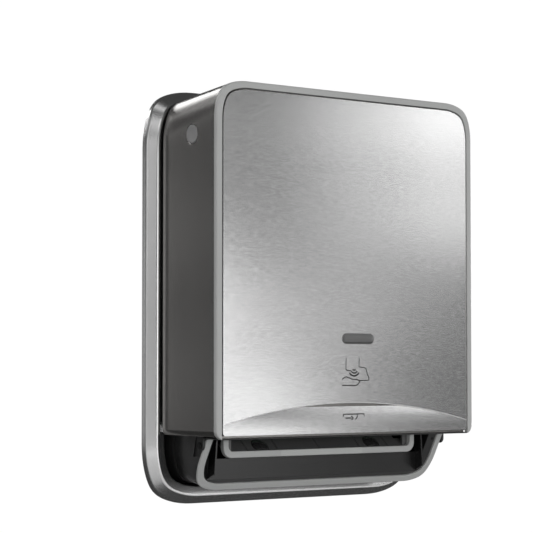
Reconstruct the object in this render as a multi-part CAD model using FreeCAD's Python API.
import FreeCAD, Part
import math
import os

# Automatic roll towel dispenser, semi-recessed.
# Millimetres. X to the right, Y into the wall, Z up.
# Origin: the wall plane at the centre of the trim frame.

V = FreeCAD.Vector
SIDES = (("left", -1), ("right", 1))

# Trim frame
TRIM_WIDTH = 346.0
TRIM_HEIGHT = 404.0
TRIM_CORNER = 59.0
TRIM_RETURN = 5.0
TRIM_RETURN_LEAN = 0.7
TRIM_RIDGE_INSET = 8.5
TRIM_RIDGE_HEIGHT = 15.0
TRIM_OPENING_INSET = 18.0
TRIM_OPENING_HEIGHT = 13.5
TRIM_SHEET = 1.2

# Cover
PROUD = 108.6
COVER_WIDTH = 330.0
COVER_HEIGHT = 337.0
COVER_DEPTH = 92.0
COVER_WALL = 2.5
COVER_CORNER = 36.0
COVER_REAR_CORNER = 48.0
COVER_FOOT_CORNER = 9.0
COVER_SIDE_DRAFT = 3.0
COVER_TOP_DRAFT = 3.6
COVER_BELOW_TRIM_TOP = 1.2
RIM_FACE = 6.6
RIM_DEPTH = 4.5
PLATE_GAP = 1.0
PLATE_SET_BACK = 0.5
PLATE_SHEET = 1.0
PLATE_FOOT_GAP = 3.7
TRAY_SHEET = 1.1
TRAY_DEPTH = 30.3
FLOOR_DEPTH = 32.6
SCOOP_RISE = 28.9
SCOOP_END_RISE = 9.5
SCOOP_DEPTH = 2.2
SCOOP_BACKING = 3.2
SCOOP_WELL = 120.0
SCOOP_WELL_LOW = 12.0

# Latch
BUTTON_BELOW_TOP = 49.0
BUTTON_FROM_FRONT = 41.0
BUTTON_R = 8.8
BUTTON_FLANGE_HALF_WIDTH = 10.5
BUTTON_FLANGE_HALF_HEIGHT = 9.6
BUTTON_FLANGE_GAP = 1.6
BUTTON_CLEARANCE = 0.3
BUTTON_TRAVEL = 3.5
LEAF_SHEET = 0.8
LEAF_HALF_HEIGHT = 16.0

# Cover hinge
HINGE_Y = -70.5
HINGE_BELOW_FOOT = 5.8
HINGE_TAB_R = 5.0
HINGE_PIN_R = 1.75
HINGE_TAB = 3.0
SIDE_GAP = 0.5
RUNNING = 0.05

# Chassis and in-wall housing
CHASSIS_SIDE_ROOM = 10.0
CHASSIS_END_ROOM = 1.4
CHASSIS_CORNER = 38.0
CHASSIS_WALL = 2.5
CHASSIS_FRONT = -14.0
CHASSIS_UPPER_FRONT = -45.0
CHASSIS_SHOULDER_ABOVE_FOOT = 10.2
CHASSIS_FRONT_BELOW_TOP = 24.8
CHASSIS_STAND = 6.3
HOUSING_DEPTH = 105.0
HOUSING_SHEET = 1.2
HOUSING_SIDE_ROOM = 4.0
HOUSING_CORNER = 30.0
FLANGE_SIDE_COVER = 8.0
FLANGE_END_COVER = 6.0
FLANGE_CORNER = 45.0
FLANGE_HOLE_EDGE = 5.0
FLANGE_HOLE_Z = 120.0
FLANGE_HOLE_R = 2.25
STUD_HOLE_R = 2.75
STUD_HOLE_Y = 55.0
STUD_HOLE_Z = 120.0
SCREW_R = 2.0
SCREW_X = 120.0
SCREW_Z = 140.0

# Chin
CHIN_TILT = 28.0
CHIN_FACE_Y = -75.1
CHIN_FACE_BELOW_FOOT = 6.0
RING_HALF_WIDTH = 152.3
RING_BAND = 6.9
RING_DEPTH = 50.2
RING_SHEET = 2.0
RING_CORNER = 32.0
RING_TOP_BELOW_FOOT = 0.4
CHIN_BEVEL = 6.0
CHIN_BEVEL_DEPTH = 4.0
CHIN_SHRINK = 0.9
CHIN_REAR_LAP = 1.4
CHIN_REAR_BOTTOM_LAP = 1.2
CHIN_REAR_CORNER = 36.0
CHIN_WALL = 2.5
POCKET_DEPTH = 3.5
POCKET_BELOW_FOOT = 17.2

# Backsplash panel and nose
PANEL_Y = -55.1
PANEL_HALF_WIDTH = 131.3
PANEL_SPREAD = 2.7
PANEL_SHEET = 1.6
PANEL_BELOW_FOOT = 39.8
PANEL_FLANGE_FRONT = -66.5
NOSE_FRONT = -65.6
NOSE_HALF_WIDTH = 123.5
NOSE_BELOW_FOOT = 19.2
NOSE_BAND = 6.3
NOSE_BAND_DEPTH = 4.6
NOSE_ABOVE_FOOT = 9.2
NOSE_CORNER = 10.0
NOSE_CENTRE_HALF = 53.0
CHUTE_ANGLE = 40.8
CHUTE_GAP = 6.8
CHUTE_PLATE = 1.6
CHUTE_LENGTH = 34.0
CHUTE_HALF_WIDTH = 107.0
GROOVE_X = (-91.0, -53.0, 0.0, 53.0, 91.0)
GROOVE_WIDTH = 2.4
GROOVE_DEPTH = 0.8
LENS_X = 72.0
LENS_R = 9.5
LENS_RISE = 3.0
LENS_UP_SLOPE = 5.6
TEAR_SHEET = 0.8
TEAR_PITCH = 5.0
TEAR_TOOTH = 2.6
TEAR_HALF_WIDTH = 104.0

# Drive
DRIVE_ALONG_CHUTE = 50.0
DRIVE_R = 14.0
DRIVE_CORE_R = 10.5
DRIVE_END_GAP = 8.0
DRIVE_SHAFT_R = 4.0
SLEEVES = 3
SLEEVE_WIDTH = 24.0
PINCH_R = 9.0
PINCH_SHAFT_R = 3.0
NIP_GAP = 0.3
PLATE_IN = 108.0
PLATE_THICK = 3.0
BUSH_WALL = 2.5
BUSH_PROUD = 1.5
GEAR_MODULE = 1.25
GEAR_TEETH = 36
IDLER_TEETH = 24
PINION_TEETH = 12
GEAR_FROM_PLATE = 3.0
GEAR_WIDTH = 7.0
GEAR_BACKLASH = 0.2
PRESSURE_ANGLE = math.radians(20)
IDLER_DIRECTION = 127.0
PINION_DIRECTION = 143.0
IDLER_PIN_R = 2.5
MOTOR_R = 14.0
MOTOR_LENGTH = 40.0
MOTOR_SHAFT_R = 1.5
SHELF_ABOVE_FOOT = 31.7
SHELF_THICK = 2.5

# Batteries and electronics
CELL_R = 16.6
CELL_LENGTH = 58.0
CELL_TIP_R = 5.0
CELL_TIP = 2.5
BOX_WALL = 2.0
BOX_SIDE_GAP = 7.0
BOX_FRONT = -97.5
DOOR_THICK = 2.0
DOOR_CLEARANCE = 0.3
CONTACT_SHEET = 0.6
BOARD = 1.6

# Towel roll
ROLL_ROOM_ABOVE = 3.1
ROLL_ROOM_FRONT = 5.6
ROLL_ROOM_BEHIND = 7.0
ROLL_HALF_WIDTH = 101.5
CORE_R = 19.0
CORE_WALL = 1.5
HUB_BASE_R = 18.4
HUB_TIP_R = 13.0
HUB_REACH = 8.0
HUB_FLANGE_R = 27.0
HUB_FLANGE = 2.5
HUB_PIN_R = 4.0
HUB_GAP = 0.5
ARM_IN = 107.0
ARM_THICK = 4.0
ARM_PIVOT_FROM_BACK = 17.5
ARM_PIVOT_X = 118.0
ARM_PIN_R = 3.0
ARM_HALF_HEIGHT = 14.0

# Corners: how far the easy arcs turn, and their radius for a corner of one millimetre
SOFT_SPREAD = math.radians(20)
SOFT_EASE = 1.77
SMALL_CORNER = 12.0

# Worked out from the sizes above
HALF_TRIM_W = TRIM_WIDTH / 2
HALF_TRIM_H = TRIM_HEIGHT / 2
OPENING_HALF_W = HALF_TRIM_W - TRIM_OPENING_INSET
FAR = TRIM_HEIGHT
CHASSIS_HALF_WIDTH = OPENING_HALF_W - CHASSIS_SIDE_ROOM
CHASSIS_HALF_HEIGHT = HALF_TRIM_H - TRIM_OPENING_INSET - CHASSIS_END_ROOM
CHASSIS_BACK = HOUSING_DEPTH - HOUSING_SHEET - CHASSIS_STAND
HOUSING_HALF_WIDTH = OPENING_HALF_W - HOUSING_SIDE_ROOM
FLANGE_HALF_WIDTH = HALF_TRIM_W - FLANGE_SIDE_COVER
FLANGE_HALF_HEIGHT = HALF_TRIM_H - FLANGE_END_COVER
FLANGE_HOLE_X = FLANGE_HALF_WIDTH - FLANGE_HOLE_EDGE
CHIN_REAR_HALF_WIDTH = CHASSIS_HALF_WIDTH - CHIN_REAR_LAP
GEAR_START = PLATE_IN + PLATE_THICK + GEAR_FROM_PLATE
DRIVE_HALF_LENGTH = PLATE_IN - DRIVE_END_GAP
BOX_LEFT = BOX_SIDE_GAP - PLATE_IN
COVER_TOP = HALF_TRIM_H - COVER_BELOW_TRIM_TOP
COVER_BOTTOM = COVER_TOP - COVER_HEIGHT
CHASSIS_SHOULDER_Z = COVER_BOTTOM + CHASSIS_SHOULDER_ABOVE_FOOT
CHASSIS_UPPER_TOP = COVER_TOP - CHASSIS_FRONT_BELOW_TOP
HINGE_Z = COVER_BOTTOM - HINGE_BELOW_FOOT
CHIN_FACE_Z = COVER_BOTTOM - CHIN_FACE_BELOW_FOOT
RING_TOP_Z = COVER_BOTTOM - RING_TOP_BELOW_FOOT
CHIN_REAR_BOTTOM = CHIN_REAR_BOTTOM_LAP - CHASSIS_HALF_HEIGHT
POCKET_BOTTOM = COVER_BOTTOM - POCKET_BELOW_FOOT
PANEL_BOTTOM = COVER_BOTTOM - PANEL_BELOW_FOOT
NOSE_BOTTOM = COVER_BOTTOM - NOSE_BELOW_FOOT
NOSE_TOP = COVER_BOTTOM + NOSE_ABOVE_FOOT
SHELF_Z = COVER_BOTTOM + SHELF_ABOVE_FOOT
HALF_COVER = COVER_WIDTH / 2
SHELL_FRONT = -PROUD + RIM_DEPTH
ROLL_FRONT = SHELL_FRONT + COVER_WALL + ROLL_ROOM_FRONT
ROLL_REAR = CHASSIS_BACK - CHASSIS_WALL - ROLL_ROOM_BEHIND
ROLL_R = (ROLL_REAR - ROLL_FRONT) / 2
ROLL_Y = ROLL_REAR - ROLL_R
ROLL_Z = CHASSIS_HALF_HEIGHT - CHASSIS_WALL - ROLL_ROOM_ABOVE - ROLL_R
ARM_PIVOT_Y = CHASSIS_BACK - ARM_PIVOT_FROM_BACK
COVER_REAR = -PROUD + COVER_DEPTH
PLATE_BACK = -PROUD + PLATE_SET_BACK + PLATE_SHEET
PLATE_BOTTOM = COVER_BOTTOM + PLATE_FOOT_GAP
PLATE_INSET = RIM_FACE + PLATE_GAP
BUTTON_Y = -PROUD + BUTTON_FROM_FRONT
BUTTON_Z = COVER_TOP - BUTTON_BELOW_TOP
TRAY_REAR = -PROUD + TRAY_DEPTH
FLOOR_REAR = -PROUD + FLOOR_DEPTH
SLOPE = V(0, math.cos(math.radians(CHUTE_ANGLE)), math.sin(math.radians(CHUTE_ANGLE)))
SLOPE_BACK = V(0, math.sin(math.radians(CHUTE_ANGLE)), -math.cos(math.radians(CHUTE_ANGLE)))
NOSE_FOOT = V(0, NOSE_FRONT + NOSE_BAND_DEPTH + 0.4, NOSE_BOTTOM + NOSE_BAND)
NIP = NOSE_FOOT + SLOPE_BACK * (CHUTE_PLATE + CHUTE_GAP / 2) + SLOPE * DRIVE_ALONG_CHUTE
DRIVE_AXIS = NIP - SLOPE_BACK * DRIVE_R
PINCH_AXIS = NIP + SLOPE_BACK * (PINCH_R + NIP_GAP)


def box(x0, x1, y0, y1, z0, z1):
    return Part.makeBox(x1 - x0, y1 - y0, z1 - z0, V(x0, y0, z0))


def rod(radius, x0, x1, y, z):
    """A cylinder along X from x0 to x1."""
    return Part.makeCylinder(radius, abs(x1 - x0), V(min(x0, x1), y, z), V(1, 0, 0))


def tube(outer, inner, x0, x1, y, z):
    return rod(outer, x0, x1, y, z).cut(rod(inner, x0 - 1, x1 + 1, y, z))


def fused(shapes):
    whole = shapes[0]
    if len(shapes) > 1:
        whole = whole.multiFuse(shapes[1:])
    return whole.removeSplitter()


def mirrored(shape):
    return shape.mirror(V(0, 0, 0), V(1, 0, 0))


def on_side(shape, sign):
    """A shape modelled at positive x, for the side that is asked for."""
    return shape if sign > 0 else mirrored(shape)


def soft_corner(start, corner, end, hidden):
    """Edges round a corner: one arc on a small corner, and easy, tight, easy arcs on a large one.
    Hidden faces take straight chords through the same points.
    """
    size = (corner - start).Length
    along, across = (corner - start) / size, (end - corner) / size
    if size < SMALL_CORNER:
        middle = start + (along + across * (math.sqrt(2) - 1)) * size / math.sqrt(2)
        return [Part.Arc(start, middle, end).toShape()]
    easy, turned = SOFT_EASE * size, math.sin(SOFT_SPREAD) + 1 - math.cos(SOFT_SPREAD)
    tight = (size - easy * turned) / (math.cos(SOFT_SPREAD) - math.sin(SOFT_SPREAD))
    point, points, heading = start, [start], 0.0
    quarter = math.pi / 2
    for radius, turn in ((easy, SOFT_SPREAD), (tight, quarter - 2 * SOFT_SPREAD), (easy, SOFT_SPREAD)):
        for part in range(2):
            after = heading + turn / 2
            ahead, aside = math.sin(after) - math.sin(heading), math.cos(heading) - math.cos(after)
            point = point + (along * ahead + across * aside) * radius
            points.append(point)
            heading = after
    points[-1] = end
    if hidden:
        return [Part.makeLine(a, b) for a, b in zip(points, points[1:])]
    return [Part.Arc(*points[first:first + 3]).toShape() for first in (0, 2, 4)]


def outline(half_width, bottom, top, corner, foot_corner, place, hidden=False):
    """A closed outline with soft corners; place(x, z) puts each point in space."""
    edges = []
    spots = (
        (1, top, corner),
        (-1, top, corner),
        (-1, bottom, foot_corner),
        (1, bottom, foot_corner),
    )
    ends = []
    for index, (side, level, size) in enumerate(spots):
        inward = -1 if level == top else 1
        upright = V(side * half_width, 0, level + inward * size)
        lying = V(side * (half_width - size), 0, level)
        first, last = (upright, lying) if index % 2 == 0 else (lying, upright)
        ends.append((place(first), place(V(side * half_width, 0, level)), place(last)))
    for index, (first, corner_point, last) in enumerate(ends):
        edges += soft_corner(first, corner_point, last, hidden)
        edges.append(Part.makeLine(last, ends[(index + 1) % 4][0]))
    return Part.Wire(edges)


def upright_outline(half_width, bottom, top, corner, foot_corner, y, hidden=False):
    return outline(half_width, bottom, top, corner, foot_corner, lambda p: V(p.x, y, p.z), hidden)


def loft(*wires):
    return Part.makeLoft(list(wires), True, True)


def prism(wire, depth):
    """A flat outline pushed along +Y."""
    return Part.Face(wire).extrude(V(0, depth, 0))


def side_profile(points, x0, x1):
    """A closed (y, z) outline made into a plate from x0 to x1."""
    wire = Part.makePolygon([V(x0, y, z) for y, z in points] + [V(x0, *points[0])])
    return Part.Face(wire).extrude(V(x1 - x0, 0, 0))


# Trim frame


def trim_outline(inset, y, hidden=False):
    corner = TRIM_CORNER - inset
    high = HALF_TRIM_H - inset
    return upright_outline(HALF_TRIM_W - inset, -high, high, corner, corner, y, hidden)


def trim_frame():
    ridge_y = -TRIM_RIDGE_HEIGHT
    skin = TRIM_SHEET
    bevel_skin = skin * 1.1
    outside = fused([
        loft(trim_outline(0, 0), trim_outline(TRIM_RETURN_LEAN, -TRIM_RETURN)),
        loft(trim_outline(TRIM_RETURN_LEAN, -TRIM_RETURN), trim_outline(TRIM_RIDGE_INSET, ridge_y)),
    ])
    dish_foot = trim_outline(TRIM_OPENING_INSET, -TRIM_OPENING_HEIGHT)
    dish = loft(trim_outline(TRIM_RIDGE_INSET, ridge_y), dish_foot)
    opening = prism(trim_outline(TRIM_OPENING_INSET, ridge_y - 1), TRIM_RIDGE_HEIGHT + 2)
    lean = TRIM_RETURN_LEAN + skin
    shoulder = trim_outline(lean, -TRIM_RETURN + 0.6, True)
    hollow = fused([
        loft(trim_outline(skin, 0, True), shoulder),
        loft(shoulder, trim_outline(TRIM_RIDGE_INSET, ridge_y + bevel_skin, True)),
    ])
    under_dish = loft(
        trim_outline(TRIM_RIDGE_INSET, ridge_y + bevel_skin, True),
        trim_outline(TRIM_OPENING_INSET, -TRIM_OPENING_HEIGHT + bevel_skin, True),
    )
    core = prism(trim_outline(TRIM_OPENING_INSET - skin, ridge_y), TRIM_RIDGE_HEIGHT + 1)
    foot = prism(trim_outline(TRIM_OPENING_INSET - skin, -HOUSING_SHEET), HOUSING_SHEET + 1)
    hollow = hollow.cut(under_dish).cut(core)
    return outside.cut(dish).cut(opening).cut(hollow).cut(foot)


# In-wall housing and chassis


def housing_holes(radius):
    holes = []
    for x in (-SCREW_X, SCREW_X):
        for z in (-SCREW_Z, SCREW_Z):
            holes.append(Part.makeCylinder(radius, 40, V(x, HOUSING_DEPTH - 20, z), V(0, 1, 0)))
    return holes


def in_wall_housing():
    """Folded sheet box that sits between the studs, with a flange on the wall under the trim."""
    high = HALF_TRIM_H - TRIM_OPENING_INSET + HOUSING_SHEET
    wide = HOUSING_HALF_WIDTH
    skin = HOUSING_SHEET
    corner = HOUSING_CORNER
    shell = prism(upright_outline(wide, -high, high, corner, corner, -skin), HOUSING_DEPTH + skin)
    tall = FLANGE_HALF_HEIGHT
    flange = prism(upright_outline(FLANGE_HALF_WIDTH, -tall, tall, FLANGE_CORNER, FLANGE_CORNER, -skin), skin)
    inner = upright_outline(wide - skin, skin - high, high - skin, corner - skin, corner - skin, -9)
    hollow = prism(inner, HOUSING_DEPTH - skin + 9)
    body = fused([shell, flange]).cut(hollow)
    cutters = housing_holes(SCREW_R)
    for x in (-FLANGE_HOLE_X, FLANGE_HOLE_X):
        for z in (-FLANGE_HOLE_Z, FLANGE_HOLE_Z):
            cutters.append(Part.makeCylinder(FLANGE_HOLE_R, 6, V(x, -3, z), V(0, 1, 0)))
    for z in (-STUD_HOLE_Z, STUD_HOLE_Z):
        cutters.append(rod(STUD_HOLE_R, -wide - 5, wide + 5, STUD_HOLE_Y, z))
    return body.cut(Part.makeCompound(cutters))


def chassis_outline(inset, y):
    corner = CHASSIS_CORNER - inset
    high = CHASSIS_HALF_HEIGHT - inset
    return upright_outline(CHASSIS_HALF_WIDTH - inset, -high, high, corner, corner, y)


def chassis():
    """Moulded tray in the wall; its sides reach forward above the chin to carry the works."""
    deep = CHASSIS_BACK - CHASSIS_UPPER_FRONT
    body = prism(chassis_outline(0, CHASSIS_UPPER_FRONT), deep)
    hollow = prism(chassis_outline(CHASSIS_WALL, CHASSIS_UPPER_FRONT - 1), deep + 1 - CHASSIS_WALL)
    lower = box(-FAR, FAR, CHASSIS_UPPER_FRONT - 1, CHASSIS_FRONT, -FAR, CHASSIS_SHOULDER_Z)
    upper = box(-FAR, FAR, CHASSIS_UPPER_FRONT - 1, CHASSIS_FRONT, CHASSIS_UPPER_TOP, FAR)
    body = body.cut(hollow).cut(lower).cut(upper)
    extras = []
    for x in (-SCREW_X, SCREW_X):
        for z in (-SCREW_Z, SCREW_Z):
            stand = HOUSING_DEPTH - HOUSING_SHEET - CHASSIS_BACK
            extras.append(Part.makeCylinder(6, stand, V(x, CHASSIS_BACK, z), V(0, 1, 0)))
    for name, sign in SIDES:
        extras += [on_side(lug, sign) for lug in arm_lugs()]
    rib_front, rib_foot = CHASSIS_BACK - CHASSIS_WALL - 3, 12.6 - CHASSIS_HALF_HEIGHT
    for x in (-60, 0, 60):
        extras.append(box(x - 1.5, x + 1.5, rib_front, CHASSIS_BACK - 1, rib_foot, -20))
    body = fused([body] + extras)
    cutters = housing_holes(SCREW_R)
    for name, sign in SIDES:
        cutters.append(on_side(arm_pin(1), sign))
    return body.cut(Part.makeCompound(cutters))


def arm_lugs():
    """Two lugs on the back wall, above and below the knuckle of a roll arm."""
    lugs = []
    for z in (ROLL_Z - ARM_HALF_HEIGHT - 0.4 - 5, ROLL_Z + ARM_HALF_HEIGHT + 0.4):
        lugs.append(box(ARM_PIVOT_X - 7, ARM_PIVOT_X + 7, ARM_PIVOT_Y - 7, CHASSIS_BACK - 1, z, z + 5))
    return lugs


def arm_pin(sign):
    reach = ARM_HALF_HEIGHT + 0.4 + 5
    pin = Part.makeCylinder(ARM_PIN_R, 2 * reach, V(ARM_PIVOT_X, ARM_PIVOT_Y, ROLL_Z - reach))
    return on_side(pin, sign)


def screws():
    """Hexagon screws through the chassis back into the housing."""
    pieces = []
    for x in (-SCREW_X, SCREW_X):
        for z in (-SCREW_Z, SCREW_Z):
            inside = CHASSIS_BACK - CHASSIS_WALL
            shank = Part.makeCylinder(SCREW_R, HOUSING_DEPTH + 3 - inside, V(x, inside, z), V(0, 1, 0))
            corners = []
            for index in range(7):
                a = math.pi / 3 * index
                corners.append(V(x + 2 * SCREW_R * math.cos(a), inside - 2.4, z + 2 * SCREW_R * math.sin(a)))
            head = Part.Face(Part.makePolygon(corners)).extrude(V(0, 2.4, 0))
            pieces.append(head.fuse(shank).removeSplitter())
    return Part.makeCompound(pieces)


# Chin


def tilted(point, out=0.0):
    """A point of the chin's tilted face: x across, z up the face from its reference line, out to the user."""
    lean = math.radians(CHIN_TILT)
    return V(
        point.x,
        CHIN_FACE_Y - point.z * math.sin(lean) - out * math.cos(lean),
        CHIN_FACE_Z + point.z * math.cos(lean) - out * math.sin(lean),
    )


def tilted_outline(inset, out, hidden=False):
    rise = (RING_TOP_Z - CHIN_FACE_Z) / math.cos(math.radians(CHIN_TILT))
    foot = RING_CORNER - 0.8 * inset
    return outline(
        RING_HALF_WIDTH - inset, inset - RING_DEPTH, rise + 25, 1, foot, lambda p: tilted(p, out), hidden
    )


def below(level, shape):
    return shape.cut(box(-FAR, FAR, -FAR, FAR, level, FAR))


def chin_ring():
    outer = loft(tilted_outline(0.5, 0), tilted_outline(0, -0.6), tilted_outline(0, -RING_SHEET))
    inner = loft(tilted_outline(RING_BAND, 1), tilted_outline(RING_BAND, -RING_SHEET - 1))
    return below(RING_TOP_Z, outer.cut(inner))


def chin_shell():
    """Black shell from the chassis forward to the light bezel, with a funnel edge and hinge pockets."""
    rear_y = CHASSIS_FRONT
    top = RING_TOP_Z + 8
    rear = upright_outline(CHIN_REAR_HALF_WIDTH, CHIN_REAR_BOTTOM, top + 20, 1, CHIN_REAR_CORNER, rear_y)
    body = loft(rear, tilted_outline(CHIN_SHRINK, -RING_SHEET))
    skin = CHIN_WALL
    half, foot, corner = CHIN_REAR_HALF_WIDTH - skin, CHIN_REAR_BOTTOM + skin, CHIN_REAR_CORNER - skin
    inner_rear = upright_outline(half, foot, top + 40, 1, corner, rear_y + 0.01, True)
    edge = RING_BAND + CHIN_BEVEL
    deep = -RING_SHEET - CHIN_BEVEL_DEPTH
    hollow = loft(inner_rear, tilted_outline(edge, deep, True))
    funnel = loft(tilted_outline(edge, deep), tilted_outline(RING_BAND, -RING_SHEET))
    body = body.cut(hollow).cut(funnel)
    body = body.cut(box(-FAR, FAR, -FAR, FLOOR_REAR + 0.5, RING_TOP_Z, 0))
    body = below(RING_TOP_Z + 4, body)
    for name, sign in SIDES:
        body = body.cut(on_side(chin_pocket(), sign))
        body = body.cut(on_side(hinge_pin_shape(), sign))
    return body


def chin_pocket():
    """A pocket in the chin's side behind the bezel, where the hinge arm hangs."""
    front = CHIN_FACE_Y + 2.6
    top = RING_TOP_Z + 9
    points = ((front, top), (-57.0, top), (-51.8, POCKET_BOTTOM), (front + 7.6, POCKET_BOTTOM))
    return side_profile(points, RING_HALF_WIDTH - CHIN_SHRINK - POCKET_DEPTH, HALF_COVER)


def hinge_pin_shape():
    inside = RING_HALF_WIDTH - CHIN_SHRINK - POCKET_DEPTH - 5
    tab_in = RING_HALF_WIDTH + SIDE_GAP
    head = rod(HINGE_PIN_R + 1.4, tab_in + HINGE_TAB + 0.2, tab_in + HINGE_TAB + 1.2, HINGE_Y, HINGE_Z)
    return head.fuse(rod(HINGE_PIN_R, inside, tab_in + HINGE_TAB + 0.2, HINGE_Y, HINGE_Z)).removeSplitter()


# Backsplash panel and nose


def slope_point(along, back):
    """A point of the chute in side view: along the slope from the nose's foot, and back through it."""
    p = NOSE_FOOT + SLOPE * along + SLOPE_BACK * back
    return (p.y, p.z)


def backsplash_panel():
    """Upright glossy panel under the outlet, bent back into the lower guide of the chute."""
    guide = CHUTE_PLATE + CHUTE_GAP
    knee = NOSE_FOOT + SLOPE_BACK * guide
    knee_z = knee.z + (PANEL_Y - knee.y) * math.tan(math.radians(CHUTE_ANGLE))
    top = slope_point(CHUTE_LENGTH + 1.5, guide)
    half = math.radians((90 - CHUTE_ANGLE) / 2)
    shift = PANEL_SHEET * math.tan(half)
    thick = slope_point(CHUTE_LENGTH + 1.5, guide + PANEL_SHEET)
    points = (
        (PANEL_Y, PANEL_BOTTOM),
        (PANEL_Y, knee_z),
        top,
        thick,
        (PANEL_Y + PANEL_SHEET, knee_z - shift),
        (PANEL_Y + PANEL_SHEET, PANEL_BOTTOM),
    )
    guide_part = side_profile(points, -CHUTE_HALF_WIDTH, CHUTE_HALF_WIDTH)
    wide = PANEL_HALF_WIDTH + PANEL_SPREAD + PANEL_SHEET
    face = box(-wide, wide, PANEL_Y, PANEL_Y + PANEL_SHEET, PANEL_BOTTOM, knee_z - shift)
    flanges = [on_side(panel_flange(), sign) for name, sign in SIDES]
    return fused([guide_part, face] + flanges).cut(chin_shell())


def panel_flange():
    top = RING_TOP_Z - 1.5
    cut_low = PANEL_BOTTOM + 0.9
    cut_high = PANEL_BOTTOM + 6.5
    front = PANEL_FLANGE_FRONT
    points = ((PANEL_Y, cut_low), (PANEL_Y, top), (front, top), (front, cut_high))
    plate = side_profile(points, 0, PANEL_SHEET)
    lean = math.degrees(math.atan2(PANEL_SPREAD, top - cut_low))
    plate.rotate(V(0, 0, cut_low), V(0, 1, 0), -lean)
    plate.translate(V(PANEL_HALF_WIDTH + PANEL_SPREAD, 0, 0))
    return plate


def nose_outline(inset, y):
    corner = NOSE_CORNER - 0.8 * inset
    return upright_outline(NOSE_HALF_WIDTH - inset, NOSE_BOTTOM + inset, NOSE_TOP + 20, 1, corner, y)


def nose_band_whole():
    back = NOSE_FRONT + NOSE_BAND_DEPTH
    outer = loft(nose_outline(0.8, NOSE_FRONT), nose_outline(0, NOSE_FRONT + 1), nose_outline(0, back))
    inner = loft(
        nose_outline(NOSE_BAND - 0.5, NOSE_FRONT - 0.01), nose_outline(NOSE_BAND, NOSE_FRONT + 0.8),
        nose_outline(NOSE_BAND, back + 1),
    )
    return below(NOSE_TOP, outer.cut(inner))


def centre_cut(half):
    return box(-half, half, -200, 0, NOSE_BOTTOM - 2, NOSE_BOTTOM + NOSE_BAND + 0.3)


def nose_band():
    return nose_band_whole().cut(centre_cut(NOSE_CENTRE_HALF))


def nose_centre_strip():
    return nose_band_whole().common(centre_cut(NOSE_CENTRE_HALF - 0.15))


def nose_housing():
    """Sloped face behind the band, with cheeks that carry it up to the drive frame."""
    back = NOSE_FRONT + NOSE_BAND_DEPTH
    wide = NOSE_HALF_WIDTH - NOSE_BAND
    foot = slope_point(0, 0)
    under = slope_point(0, CHUTE_PLATE)[1]
    edge = ((back + TEAR_SHEET, under), (back, foot[1] - 1.2), (back, foot[1]))
    slabs = []
    for length, half in ((CHUTE_LENGTH, CHUTE_HALF_WIDTH), (11, wide + 2)):
        points = (slope_point(0, 0), slope_point(length, 0), slope_point(length, CHUTE_PLATE)) + edge
        slabs.append(side_profile(points, -half, half))
    body = fused(slabs)
    grooves = []
    for x in GROOVE_X:
        end = CHUTE_LENGTH - 8
        deep = GROOVE_DEPTH
        points = (slope_point(-3, -1), slope_point(end, -1), slope_point(end, deep), slope_point(-3, deep))
        grooves.append(side_profile(points, x - GROOVE_WIDTH / 2, x + GROOVE_WIDTH / 2))
    body = body.cut(Part.makeCompound(grooves))
    cheeks = []
    for name, sign in SIDES:
        start, top = PLATE_IN + PLATE_THICK, SHELF_Z - 1.5
        tall = box(start, wide + 4, back, back + 2.4, NOSE_BOTTOM + NOSE_BAND, top)
        foot_plate = box(start, start + 2.4, back, back + 10, top - 22, top)
        cheeks += [on_side(tall, sign), on_side(foot_plate, sign)]
    return fused([body] + cheeks)


def sensor_lens(sign):
    """A shallow dome on the sloped face, in two conical bands."""
    ball_r = (LENS_R ** 2 + LENS_RISE ** 2) / (2 * LENS_RISE)
    bands = []
    levels = [(0, LENS_R)]
    for height in (0.6 * LENS_RISE, LENS_RISE):
        levels.append((height, math.sqrt(max(ball_r ** 2 - (ball_r - LENS_RISE + height) ** 2, 0))))
    for (low, wide), (high, narrow) in zip(levels, levels[1:]):
        y, z = slope_point(LENS_UP_SLOPE, -low)
        bands.append(Part.makeCone(wide, narrow, high - low, V(sign * LENS_X, y, z), SLOPE_BACK * -1))
    points = (slope_point(0.3, 0), slope_point(0.3, -9), slope_point(30, -9), slope_point(30, 0))
    return fused(bands).common(side_profile(points, sign * LENS_X - 15, sign * LENS_X + 15))


def tear_bar():
    """Stainless strip behind the band, with pointed teeth along its lower edge."""
    back = NOSE_FRONT + NOSE_BAND_DEPTH
    top = NOSE_BOTTOM + NOSE_BAND - 1.6
    root = NOSE_BOTTOM + TEAR_TOOTH + 0.2
    points = [V(-TEAR_HALF_WIDTH, back, top)]
    teeth = int(2 * TEAR_HALF_WIDTH // TEAR_PITCH)
    start = -teeth * TEAR_PITCH / 2
    points.append(V(-TEAR_HALF_WIDTH, back, root))
    for index in range(teeth):
        points.append(V(start + index * TEAR_PITCH, back, root))
        points.append(V(start + (index + 0.5) * TEAR_PITCH, back, root - TEAR_TOOTH))
    points.append(V(start + teeth * TEAR_PITCH, back, root))
    points.append(V(TEAR_HALF_WIDTH, back, root))
    points.append(V(TEAR_HALF_WIDTH, back, top))
    unique = [p for i, p in enumerate(points) if i == 0 or (p - points[i - 1]).Length > 0.01]
    return Part.Face(Part.makePolygon(unique + [unique[0]])).extrude(V(0, TEAR_SHEET, 0))


# Cover


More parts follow.
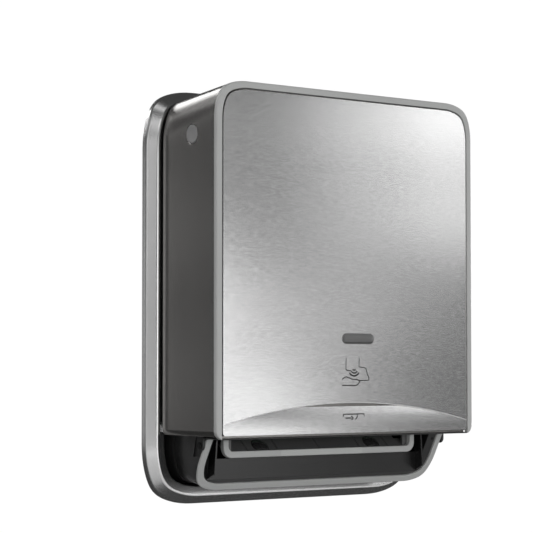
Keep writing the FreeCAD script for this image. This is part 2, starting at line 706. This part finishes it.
def cover_outline(inset, y, hidden=False):
    """The cover's outline at a depth: sides and top draw in towards the wall, the foot stays level."""
    depth = y + PROUD
    side = depth * math.tan(math.radians(COVER_SIDE_DRAFT))
    top = depth * math.tan(math.radians(COVER_TOP_DRAFT))
    corner = COVER_CORNER + (COVER_REAR_CORNER - COVER_CORNER) * depth / COVER_DEPTH - 0.8 * inset
    foot = max(COVER_FOOT_CORNER - 0.8 * inset, 1.5)
    half = HALF_COVER - side - inset
    return upright_outline(half, COVER_BOTTOM + inset, COVER_TOP - top - inset, corner, foot, y, hidden)


def cover_inside():
    front = SHELL_FRONT + COVER_WALL
    return loft(cover_outline(COVER_WALL, front, True), cover_outline(COVER_WALL, COVER_REAR + 0.5, True))


def cover_shell():
    """Drafted hood: front wall behind the plate, sides, top and a short floor."""
    hood = loft(cover_outline(0, SHELL_FRONT), cover_outline(0, COVER_REAR))
    hood = hood.cut(cover_inside())
    wide = HALF_COVER - PLATE_INSET
    step = prism(front_step(0, PLATE_BACK), SHELL_FRONT + 0.5 - PLATE_BACK)
    hood = fused([hood, step])
    formed = prism(front_step(COVER_WALL, PLATE_BACK + COVER_WALL), RIM_DEPTH)
    scoop_top = PLATE_BOTTOM + SCOOP_RISE + 2 * COVER_WALL
    above_scoop = box(-HALF_COVER, HALF_COVER, -PROUD, 0, scoop_top, COVER_TOP)
    hood = hood.cut(formed.common(above_scoop))
    scoop_well = box(
        -SCOOP_WELL, SCOOP_WELL, PLATE_BACK - 1, SHELL_FRONT - 0.3,
        PLATE_BOTTOM + SCOOP_WELL_LOW, PLATE_BOTTOM + SCOOP_RISE + 2,
    )
    slot = box(-wide, wide, -PROUD, FLOOR_REAR, COVER_BOTTOM - 1, PLATE_BOTTOM)
    foot_open = box(-HALF_COVER, HALF_COVER, FLOOR_REAR, 0, COVER_BOTTOM - 1, COVER_BOTTOM + 20)
    hood = hood.cut(scoop_well).cut(slot).cut(foot_open.common(cover_inside_to_floor()))
    hood = hood.cut(tray_space())
    floor = box(-wide, wide, SHELL_FRONT, FLOOR_REAR, PLATE_BOTTOM, PLATE_BOTTOM + COVER_WALL)
    ribs = []
    for name, sign in SIDES:
        ribs += [on_side(rib, sign) for rib in latch_ribs()]
    hood = fused([hood, floor] + ribs)
    for name, sign in SIDES:
        hood = hood.cut(rod(BUTTON_R + BUTTON_CLEARANCE, sign * 140, sign * 180, BUTTON_Y, BUTTON_Z))
    return hood


def tray_space():
    return box(-HALF_COVER, HALF_COVER, -PROUD, TRAY_REAR, COVER_BOTTOM - 1, COVER_BOTTOM + TRAY_SHEET)


def front_step(inset, y):
    wide = HALF_COVER - PLATE_INSET - inset
    high = COVER_TOP - PLATE_INSET - inset
    return upright_outline(wide, PLATE_BOTTOM + inset, high, COVER_CORNER - 6 - 0.8 * inset, 4, y)


def cover_inside_to_floor():
    """The space inside the side walls, down past the cover's foot."""
    def section(y):
        depth = y + PROUD
        side = HALF_COVER - depth * math.tan(math.radians(COVER_SIDE_DRAFT)) - COVER_WALL
        return upright_outline(side, COVER_BOTTOM - 5, 0, 2, 2, y)

    return loft(section(SHELL_FRONT), section(COVER_REAR + 1))


def latch_ribs():
    """Two small ribs inside the side wall, above and below the button, that the latch leaf holds."""
    ribs = []
    for z0, z1 in ((-LEAF_HALF_HEIGHT + 0.2, -12.0), (12.0, LEAF_HALF_HEIGHT - 0.2)):
        block = box(155.4, 170, BUTTON_Y - 7.4, BUTTON_Y - 5.4, BUTTON_Z + z0, BUTTON_Z + z1)
        hood = loft(cover_outline(COVER_WALL - 0.5, SHELL_FRONT), cover_outline(COVER_WALL - 0.5, COVER_REAR))
        ribs.append(block.common(hood))
    return ribs


def cover_rim():
    """Light bezel round the plate, with the thin tray that closes the cover's foot."""
    outer = loft(
        cover_outline(2.2, -PROUD), cover_outline(0.8, -PROUD + 0.6), cover_outline(0, -PROUD + 2.2),
        cover_outline(0, SHELL_FRONT),
    )
    wide = HALF_COVER - RIM_FACE
    corner = COVER_CORNER - 0.8 * RIM_FACE
    inner = upright_outline(wide, COVER_BOTTOM - 30, COVER_TOP - RIM_FACE, corner, 5, -PROUD - 1)
    opening = prism(inner, RIM_DEPTH + 2)
    ring = outer.cut(opening)
    tray_solid = loft(cover_outline(0, SHELL_FRONT), cover_outline(0, TRAY_REAR))
    front_lip = loft(cover_outline(0.6, -PROUD + 0.5), cover_outline(0, SHELL_FRONT))
    keep = tray_space()
    return fused([ring, tray_solid.common(keep), front_lip.common(keep)])


def scoop_arc(y, lift):
    """Wire of the region under the scoop's arc, in the plane at y."""
    wide = HALF_COVER - PLATE_INSET
    ends = PLATE_BOTTOM + SCOOP_END_RISE + lift
    left_end, right_end = V(-wide - 1, y, ends), V(wide + 1, y, ends)
    low = PLATE_BOTTOM + 1.5
    left_low, right_low = V(-wide - 1, y, low), V(wide + 1, y, low)
    arc = Part.Arc(left_end, V(0, y, PLATE_BOTTOM + SCOOP_RISE + lift), right_end).toShape()
    sides = [Part.makeLine(right_end, right_low), Part.makeLine(right_low, left_low)]
    return Part.Wire([arc] + sides + [Part.makeLine(left_low, left_end)])


def faceplate():
    """Brushed sheet with a scooped crescent along its foot."""
    front = -PROUD + PLATE_SET_BACK
    wide = HALF_COVER - PLATE_INSET
    sheet = prism(front_step(0, front), PLATE_SHEET)
    backing = prism(scoop_arc(front, 0.8), SCOOP_BACKING - 0.2)
    side, low = SCOOP_WELL - 0.4, PLATE_BOTTOM + SCOOP_WELL_LOW + 0.4
    inside = box(-side, side, front, 0, low, PLATE_BOTTOM + SCOOP_RISE + 1.6)
    sheet = fused([sheet, backing.common(inside)])
    rise = SCOOP_RISE - 2.0
    radius = (rise ** 2 + SCOOP_DEPTH ** 2) / (2 * SCOOP_DEPTH)
    drum = rod(radius, -wide - 5, wide + 5, front + radius, PLATE_BOTTOM + 2.0)
    region = prism(scoop_arc(front - 1, 0), SCOOP_DEPTH + 2)
    return sheet.cut(region.cut(drum))


def hinge_arm(sign):
    """Arm inside the side wall that hangs into the chin's pocket and turns on the pin."""
    tab_in = RING_HALF_WIDTH + SIDE_GAP
    low, high = HINGE_Z, COVER_BOTTOM + 26
    eye = rod(HINGE_TAB_R, tab_in, tab_in + HINGE_TAB, HINGE_Y, HINGE_Z)
    leaf = box(tab_in, tab_in + HINGE_TAB, HINGE_Y - HINGE_TAB_R, HINGE_Y + HINGE_TAB_R, low, high)
    front, rear = HINGE_Y - HINGE_TAB_R, HINGE_Y + HINGE_TAB_R
    pad = box(tab_in + HINGE_TAB, HALF_COVER + 5, front, rear, COVER_BOTTOM + 9, high)
    pad = pad.common(cover_inside_to_floor())
    arm = fused([eye, leaf, pad])
    arm = arm.cut(rod(HINGE_PIN_R + RUNNING, 100, 180, HINGE_Y, HINGE_Z))
    return on_side(arm, sign)


def wall_half_width(y):
    return HALF_COVER - (y + PROUD) * math.tan(math.radians(COVER_SIDE_DRAFT))


def latch_button(sign):
    """Round push button with a retaining flange and a stem that meets the latch leaf."""
    out = wall_half_width(BUTTON_Y) + 0.7
    flange_out = wall_half_width(BUTTON_Y + BUTTON_FLANGE_HALF_WIDTH) - COVER_WALL - BUTTON_FLANGE_GAP
    edge = 0.5
    cap = rod(BUTTON_R, flange_out - 0.5, out - edge, BUTTON_Y, BUTTON_Z)
    crown = Part.makeCone(BUTTON_R, BUTTON_R - 2 * edge, edge, V(out - edge, BUTTON_Y, BUTTON_Z), V(1, 0, 0))
    y = BUTTON_Y
    z = BUTTON_Z
    wide = BUTTON_FLANGE_HALF_WIDTH
    high = BUTTON_FLANGE_HALF_HEIGHT
    flange = box(flange_out - 1.5, flange_out, y - wide, y + wide, z - high, z + high)
    stem_in = leaf_out() + 0.3
    stem = box(stem_in, flange_out - 1, y - 4, y + 4, z - 1, z + 1)
    cross = box(stem_in, flange_out - 1, y - 1, y + 1, z - 4, z + 4)
    return on_side(fused([cap, crown, flange, stem, cross]), sign)


def leaf_out():
    return 152.0 + LEAF_SHEET


def latch_leaf(sign):
    """Bent spring leaf on the chassis side, with two barbs that hold the cover's ribs."""
    root = CHASSIS_HALF_WIDTH
    t = LEAF_SHEET
    out = leaf_out()
    rear = CHASSIS_UPPER_FRONT
    tip = BUTTON_Y - 8.2
    path = (
        (rear + 16, root), (rear + 2, root), (rear - 8, out - t), (tip, out - t),
        (tip, out), (rear - 8.4, out), (rear + 1.6, root + t), (rear + 16, root + t),
    )
    foot = BUTTON_Z - LEAF_HALF_HEIGHT
    corners = [V(x, y, foot) for y, x in path]
    leaf = Part.Face(Part.makePolygon(corners + [corners[0]])).extrude(V(0, 0, 2 * LEAF_HALF_HEIGHT))
    barbs = []
    for z in (-LEAF_HALF_HEIGHT, LEAF_HALF_HEIGHT - 3.8):
        barbs.append(box(out - t, out + 4.2, tip - t, tip, BUTTON_Z + z, BUTTON_Z + z + 3.8))
    return on_side(fused([leaf] + barbs), sign)


# Towel roll and its holder


def towel_roll():
    return tube(ROLL_R, CORE_R + CORE_WALL, -ROLL_HALF_WIDTH, ROLL_HALF_WIDTH, ROLL_Y, ROLL_Z)


def roll_core():
    return tube(CORE_R + CORE_WALL, CORE_R, -ROLL_HALF_WIDTH, ROLL_HALF_WIDTH, ROLL_Y, ROLL_Z)


def roll_hub(sign):
    """Hub that enters the core: a flange, a boss on the arm's pin and four tapered ribs."""
    face = ROLL_HALF_WIDTH + HUB_GAP
    tip = face - HUB_REACH
    flange = rod(HUB_FLANGE_R, face, face + HUB_FLANGE, ROLL_Y, ROLL_Z)
    boss = rod(HUB_PIN_R + 3, tip, face + 1, ROLL_Y, ROLL_Z)
    corners = ((tip, -HUB_TIP_R), (tip, HUB_TIP_R), (face + 1, HUB_BASE_R), (face + 1, -HUB_BASE_R))
    points = [V(x, ROLL_Y - 1.5, ROLL_Z + z) for x, z in corners]
    rib = Part.Face(Part.makePolygon(points + [points[0]])).extrude(V(0, 3, 0))
    cross = rib.copy()
    cross.rotate(V(0, ROLL_Y, ROLL_Z), V(1, 0, 0), 90)
    hub = fused([flange, boss, rib, cross]).cut(rod(HUB_PIN_R + RUNNING, 80, 120, ROLL_Y, ROLL_Z))
    return on_side(hub, sign)


def roll_arm(sign):
    """Holder arm: a plate from the knuckle at the back to the hub's pin at the roll's centre."""
    x0, x1 = ARM_IN, ARM_IN + ARM_THICK
    half = ARM_HALF_HEIGHT
    points = (
        (ROLL_Y, ROLL_Z - 20), (ROLL_Y - 14, ROLL_Z - 14), (ROLL_Y - 20, ROLL_Z), (ROLL_Y - 14, ROLL_Z + 14),
        (ROLL_Y, ROLL_Z + 20), (ARM_PIVOT_Y - 20, ROLL_Z + half),
        (ARM_PIVOT_Y, ROLL_Z + half), (ARM_PIVOT_Y, ROLL_Z - half), (ARM_PIVOT_Y - 20, ROLL_Z - half),
    )
    plate = side_profile(points, x0, x1)
    knuckle = Part.makeCylinder(7, 2 * half, V(ARM_PIVOT_X, ARM_PIVOT_Y, ROLL_Z - half))
    web = box(x0, ARM_PIVOT_X, ARM_PIVOT_Y - 4, ARM_PIVOT_Y + 4, ROLL_Z - half, ROLL_Z + half)
    rib = box(x0, x1 + 3, ROLL_Y + 10, ARM_PIVOT_Y, ROLL_Z - 2, ROLL_Z + 2)
    tip = ROLL_HALF_WIDTH + HUB_GAP - HUB_REACH - 0.3
    pin = rod(HUB_PIN_R, tip, x0 + 1, ROLL_Y, ROLL_Z)
    cap = rod(HUB_PIN_R + 2, tip - 1.2, tip, ROLL_Y, ROLL_Z)
    collar = rod(HUB_PIN_R + 3, ROLL_HALF_WIDTH + HUB_GAP + HUB_FLANGE + 0.3, x0 + 1, ROLL_Y, ROLL_Z)
    arm = fused([plate, knuckle, web, rib, pin, cap, collar])
    bore = Part.makeCylinder(ARM_PIN_R + RUNNING, 60, V(ARM_PIVOT_X, ARM_PIVOT_Y, ROLL_Z - 30))
    return on_side(arm.cut(bore), sign)


# Drive


def idler_axis():
    reach = GEAR_MODULE * (GEAR_TEETH + IDLER_TEETH) / 2
    angle = math.radians(IDLER_DIRECTION)
    return DRIVE_AXIS + V(0, math.cos(angle), math.sin(angle)) * reach


def pinion_axis():
    reach = GEAR_MODULE * (IDLER_TEETH + PINION_TEETH) / 2
    angle = math.radians(PINION_DIRECTION)
    return idler_axis() + V(0, math.cos(angle), math.sin(angle)) * reach


def flank(radius, pitch_r, half):
    """Half angle of a tooth at a radius: an involute above its base circle and radial below it."""
    base = pitch_r * math.cos(PRESSURE_ANGLE)
    open_angle = math.acos(base / max(radius, base))
    at_pitch = math.tan(PRESSURE_ANGLE) - PRESSURE_ANGLE
    return half + at_pitch - (math.tan(open_angle) - open_angle)


def gear(teeth, bore, centre, turn, x0, width):
    """A spur gear along X, with its teeth thinned for backlash and a web sunk in larger wheels."""
    pitch_r = GEAR_MODULE * teeth / 2
    tip_r = pitch_r + GEAR_MODULE * 0.92
    root_r = pitch_r - GEAR_MODULE * 1.25
    half = math.pi / (2 * teeth) - GEAR_BACKLASH / (2 * pitch_r)
    rise = [(radius, flank(radius, pitch_r, half)) for radius in (root_r, pitch_r, tip_r)]
    tooth = [(radius, -angle) for radius, angle in rise] + rise[::-1]
    points = []
    for index in range(teeth):
        middle = turn + 2 * math.pi * index / teeth
        for radius, angle in tooth:
            a = middle + angle
            points.append(V(x0, centre.y + radius * math.cos(a), centre.z + radius * math.sin(a)))
    wheel = Part.Face(Part.makePolygon(points + [points[0]])).extrude(V(width, 0, 0))
    if teeth > IDLER_TEETH:
        wheel = wheel.cut(tube(root_r - 2.5, bore + 5, x0 + width - 2, x0 + width + 1, centre.y, centre.z))
    return wheel.cut(rod(bore, x0 - 1, x0 + width + 1, centre.y, centre.z))


def mesh_turn(teeth, from_centre, to_centre, other_teeth, other_turn):
    """Turn of a gear so that its tooth falls in the other gear's gap on the line of centres."""
    line = math.atan2(to_centre.z - from_centre.z, to_centre.y - from_centre.y)
    phase = (line - other_turn) * other_teeth / (2 * math.pi)
    return line + math.pi - (0.5 - (phase - math.floor(phase))) * 2 * math.pi / teeth


def roller_gear():
    return gear(GEAR_TEETH, DRIVE_SHAFT_R, DRIVE_AXIS, 0.0, GEAR_START, GEAR_WIDTH)


def idler_turn():
    return mesh_turn(IDLER_TEETH, DRIVE_AXIS, idler_axis(), GEAR_TEETH, 0.0)


def idler_gear():
    bore = IDLER_PIN_R + RUNNING
    return gear(IDLER_TEETH, bore, idler_axis(), idler_turn(), GEAR_START, GEAR_WIDTH)


def motor_pinion():
    turn = mesh_turn(PINION_TEETH, idler_axis(), pinion_axis(), IDLER_TEETH, idler_turn())
    return gear(PINION_TEETH, MOTOR_SHAFT_R, pinion_axis(), turn, GEAR_START - 0.4, GEAR_WIDTH + 0.8)


def idler_pin():
    c = idler_axis()
    start = PLATE_IN
    end = GEAR_START + GEAR_WIDTH + 0.3
    head = rod(IDLER_PIN_R + 2, end, end + 1.2, c.y, c.z)
    return fused([rod(IDLER_PIN_R, start, end + 0.5, c.y, c.z), head])


def motor():
    """Can motor with a gearhead boss; its shaft is the pinion's and turns with it."""
    c = pinion_axis()
    can = rod(MOTOR_R, PLATE_IN - MOTOR_LENGTH, PLATE_IN, c.y, c.z)
    boss = rod(5, PLATE_IN - 0.5, PLATE_IN + PLATE_THICK - 0.2, c.y, c.z)
    body = fused([can, boss])
    return body.cut(rod(MOTOR_SHAFT_R + 0.08, PLATE_IN - 12, PLATE_IN + 10, c.y, c.z))


def pinion_shaft():
    c = pinion_axis()
    return rod(MOTOR_SHAFT_R, PLATE_IN - 11.5, GEAR_START + GEAR_WIDTH + 0.4, c.y, c.z)


def drive_shaft():
    left = -PLATE_IN - PLATE_THICK - BUSH_PROUD - 2
    right = GEAR_START + GEAR_WIDTH + 2
    return rod(DRIVE_SHAFT_R, left, right, DRIVE_AXIS.y, DRIVE_AXIS.z)


def drive_roller():
    c = DRIVE_AXIS
    return tube(DRIVE_CORE_R, DRIVE_SHAFT_R, -DRIVE_HALF_LENGTH, DRIVE_HALF_LENGTH, c.y, c.z)


def drive_sleeves():
    c = DRIVE_AXIS
    step = (2 * DRIVE_HALF_LENGTH - SLEEVE_WIDTH) / (SLEEVES - 1)
    rings = []
    for index in range(SLEEVES):
        x = -DRIVE_HALF_LENGTH + index * step
        rings.append(tube(DRIVE_R, DRIVE_CORE_R, x, x + SLEEVE_WIDTH, c.y, c.z))
    return Part.makeCompound(rings)


def pinch_shaft():
    end = PLATE_IN + PLATE_THICK
    return rod(PINCH_SHAFT_R, -end, end, PINCH_AXIS.y, PINCH_AXIS.z)


def pinch_roller():
    c = PINCH_AXIS
    return tube(PINCH_R, PINCH_SHAFT_R, -DRIVE_HALF_LENGTH, DRIVE_HALF_LENGTH, c.y, c.z)


def bushes(axis, shaft_r):
    """Plain bushes in the two end plates, a little proud on the inside."""
    pieces = []
    for name, sign in SIDES:
        outer, bore = shaft_r + BUSH_WALL, shaft_r + RUNNING
        bush = tube(outer, bore, PLATE_IN - BUSH_PROUD, PLATE_IN + PLATE_THICK, axis.y, axis.z)
        pieces.append(on_side(bush, sign))
    return Part.makeCompound(pieces)


def end_plate():
    base = SHELF_Z
    points = (
        (BOX_FRONT, base - SHELF_THICK), (BOX_FRONT, base + 60.5), (-84, base + 68.5), (-36, base + 46.5),
        (-8, base + 20.5), (20, base - 3.5), (20, base - 32.5), (-24, base - 32.5), (-37, base - 21.5),
        (-52, base - 19.5), (-60, base - 11.5), (-66, base - SHELF_THICK),
    )
    return side_profile(points, PLATE_IN, PLATE_IN + PLATE_THICK)


def drive_frame():
    """Two end plates, a shelf in front and a rear beam that reaches the chassis sides."""
    plates = [on_side(end_plate(), sign) for name, sign in SIDES]
    shelf = box(-PLATE_IN - 1, PLATE_IN + 1, BOX_FRONT, -49, SHELF_Z - SHELF_THICK, SHELF_Z)
    inside = CHASSIS_HALF_WIDTH - CHASSIS_WALL
    low = SHELF_Z - 31.5
    beam = box(-inside, inside, 16, 20, low, low + 24)
    ledge = box(-inside, inside, 4, 20, low, low + 3)
    c = idler_axis()
    seat = rod(IDLER_PIN_R + 2.5, PLATE_IN + 1, GEAR_START - 0.3, c.y, c.z)
    frame = fused(plates + [shelf, beam, ledge, seat])
    cutters = []
    for axis, radius in ((DRIVE_AXIS, DRIVE_SHAFT_R), (PINCH_AXIS, PINCH_SHAFT_R)):
        cutters.append(rod(radius + BUSH_WALL, -130, 130, axis.y, axis.z))
    c = pinion_axis()
    cutters.append(rod(5, 100, 130, c.y, c.z))
    cutters.append(rod(IDLER_PIN_R, 100, 130, idler_axis().y, idler_axis().z))
    return frame.cut(Part.makeCompound(cutters))


# Batteries and electronics


def cell_places():
    """Left end and axis of each of the four cells, in two rows of two."""
    places = []
    pitch = 2 * CELL_R + 1
    for row in range(2):
        for column in range(2):
            x = BOX_LEFT + BOX_WALL + CONTACT_SHEET + column * (BOX_WALL + bay_length())
            z = SHELF_Z + BOX_WALL + CELL_R + 0.3 + row * pitch
            places.append((x, box_back() - BOX_WALL - CELL_R - 0.3, z))
    return places


def box_back():
    return BOX_FRONT + DOOR_THICK + 2 * CELL_R + BOX_WALL + 1.5


def bay_length():
    return CELL_LENGTH + CELL_TIP + 2 * CONTACT_SHEET


def box_right():
    return BOX_LEFT + 3 * BOX_WALL + 2 * bay_length()


def box_top():
    return SHELF_Z + 2 * BOX_WALL + 4 * CELL_R + 1.6


def battery_box():
    """Open-fronted box on the shelf, with rails for the sliding door and a wall between the cells."""
    right, back, top = box_right(), box_back(), box_top()
    body = box(BOX_LEFT, right, BOX_FRONT, back, SHELF_Z, top)
    middle = (BOX_LEFT + right) / 2
    w = BOX_WALL
    door_space = BOX_FRONT + DOOR_THICK + 2 * DOOR_CLEARANCE
    for x0, x1 in ((BOX_LEFT + w, middle - w / 2), (middle + w / 2, right - w)):
        body = body.cut(box(x0, x1, door_space, back - w, SHELF_Z + w, top - w))
    body = body.cut(box(BOX_LEFT + w, right - w, BOX_FRONT - 1, door_space, SHELF_Z + w, top + 1))
    groove = box(BOX_LEFT + w - 1.2, right - w + 1.2, BOX_FRONT + 0.8, BOX_FRONT + 2.4, SHELF_Z + w, top + 1)
    return body.cut(groove)


def battery_door():
    """Sliding door: tongues along its edges run in the box's grooves, with finger ribs near the top."""
    right, top, w = box_right(), box_top(), BOX_WALL
    c = DOOR_CLEARANCE
    low = SHELF_Z + w + c
    panel = box(BOX_LEFT + w + c, right - w - c, BOX_FRONT, BOX_FRONT + DOOR_THICK, low, top)
    reach = 1.2 - c
    tongue = box(BOX_LEFT + w - reach, right - w + reach, BOX_FRONT + 1.1, BOX_FRONT + DOOR_THICK, low, top)
    ribs = []
    middle = (BOX_LEFT + right) / 2
    for index in range(4):
        z = top - 8 - 3 * index
        ribs.append(box(middle - 15, middle + 15, BOX_FRONT - 0.8, BOX_FRONT, z, z + 1.2))
    return fused([panel, tongue] + ribs)


def battery_cells():
    cells = []
    for x, y, z in cell_places():
        can = rod(CELL_R, x, x + CELL_LENGTH, y, z)
        tip = rod(CELL_TIP_R, x + CELL_LENGTH - 0.5, x + CELL_LENGTH + CELL_TIP, y, z)
        cells.append(fused([can, tip]))
    return Part.makeCompound(cells)


def battery_contacts():
    """A plate at each end of each cell, against the wall of the box."""
    plates = []
    for x, y, z in cell_places():
        for x0 in (x - CONTACT_SHEET, x + CELL_LENGTH + CELL_TIP):
            plates.append(box(x0, x0 + CONTACT_SHEET, y - 8, y + 8, z - 8, z + 8))
    return Part.makeCompound(plates)


def control_board():
    """Board behind the battery box, with a relay, a connector and capacitors on its back."""
    back = box_back()
    left, right = BOX_LEFT + 8, box_right() - 8
    low, high = SHELF_Z + 6, box_top() - 4
    board = box(left, right, back + 2, back + 2 + BOARD, low, high)
    parts = [board]
    face = back + 2 + BOARD
    parts.append(box(left + 12, left + 30, face, face + 7, low + 30, low + 44))
    parts.append(box(left + 40, left + 62, face, face + 2, low + 20, low + 34))
    parts.append(box(right - 28, right - 8, face, face + 6, low + 36, low + 43))
    for x in (left + 72, left + 84):
        parts.append(Part.makeCylinder(4, 9, V(x, face, low + 50), V(0, 1, 0)))
    for x in (left + 3, right - 8):
        parts.append(box(x, x + 5, back, back + 2.5, low, high))
    return fused(parts)


def sensor_board():
    """Small board on the sloped plate, above the lenses."""
    t0, t1 = 17, 28
    top = -2 - BOARD
    points = (slope_point(t0, -2), slope_point(t1, -2), slope_point(t1, top), slope_point(t0, top))
    parts = [side_profile(points, -88, 88)]
    for x in (-78, -26, 26, 78):
        points = (slope_point(20, 0), slope_point(25, 0), slope_point(25, -2), slope_point(20, -2))
        parts.append(side_profile(points, x - 2.5, x + 2.5))
    for x in (-LENS_X, LENS_X):
        a, b = t0 + 1, t0 + 7
        points = (slope_point(a, top), slope_point(b, top), slope_point(b, -7), slope_point(a, -7))
        parts.append(side_profile(points, x - 5, x + 5))
    return fused(parts)


def feed_switch():
    """Switch block on the shelf, right of the batteries."""
    block = box(54, 76, BOX_FRONT + 6, BOX_FRONT + 24, SHELF_Z, SHELF_Z + 18)
    collar = Part.makeCylinder(8, 5.5, V(65, BOX_FRONT + 0.5, SHELF_Z + 9.5), V(0, 1, 0))
    bore = Part.makeCylinder(5.3, 14, V(65, BOX_FRONT, SHELF_Z + 9.5), V(0, 1, 0))
    return fused([block, collar]).cut(bore)


def feed_button():
    return Part.makeCylinder(5.2, 10, V(65, BOX_FRONT - 1.8, SHELF_Z + 9.5), V(0, 1, 0))


def parts_list():
    parts = {
        "trim_frame": trim_frame(),
        "in_wall_housing": in_wall_housing(),
        "chassis": chassis(),
        "chassis_screws": screws(),
        "chin_shell": chin_shell(),
        "chin_ring": chin_ring(),
        "backsplash_panel": backsplash_panel(),
        "nose_housing": nose_housing(),
        "nose_band": nose_band(),
        "nose_centre_strip": nose_centre_strip(),
        "tear_bar": tear_bar(),
        "sensor_lenses": Part.makeCompound([sensor_lens(sign) for name, sign in SIDES]),
        "hinge_pins": Part.makeCompound([on_side(hinge_pin_shape(), sign) for name, sign in SIDES]),
        "arm_pins": Part.makeCompound([arm_pin(sign) for name, sign in SIDES]),
        "cover_shell": cover_shell(),
        "cover_rim": cover_rim(),
        "faceplate": faceplate(),
        "towel_roll": towel_roll(),
        "roll_core": roll_core(),
        "drive_frame": drive_frame(),
        "drive_shaft": drive_shaft(),
        "drive_roller": drive_roller(),
        "drive_sleeves": drive_sleeves(),
        "drive_bushes": bushes(DRIVE_AXIS, DRIVE_SHAFT_R),
        "pinch_bushes": bushes(PINCH_AXIS, PINCH_SHAFT_R),
        "pinch_shaft": pinch_shaft(),
        "pinch_roller": pinch_roller(),
        "roller_gear": roller_gear(),
        "idler_gear": idler_gear(),
        "idler_pin": idler_pin(),
        "motor_pinion": motor_pinion(),
        "pinion_shaft": pinion_shaft(),
        "motor": motor(),
        "battery_box": battery_box(),
        "battery_door": battery_door(),
        "battery_cells": battery_cells(),
        "battery_contacts": battery_contacts(),
        "control_board": control_board(),
        "sensor_board": sensor_board(),
        "feed_switch": feed_switch(),
        "feed_button": feed_button(),
    }
    for name, sign in SIDES:
        parts["hinge_arm_" + name] = hinge_arm(sign)
        parts["latch_button_" + name] = latch_button(sign)
        parts["latch_leaf_" + name] = latch_leaf(sign)
        parts["roll_arm_" + name] = roll_arm(sign)
        parts["roll_hub_" + name] = roll_hub(sign)
    return parts


os.makedirs("parts", exist_ok=True)
for node, shape in parts_list().items():
    print(node, len(shape.Solids), "solids", round(shape.Volume), "mm3", shape.isValid())
    shape.exportStep("parts/" + node + ".step")
for axis in (DRIVE_AXIS, PINCH_AXIS, idler_axis(), pinion_axis()):
    print("axis", round(axis.y, 3), round(axis.z, 3))
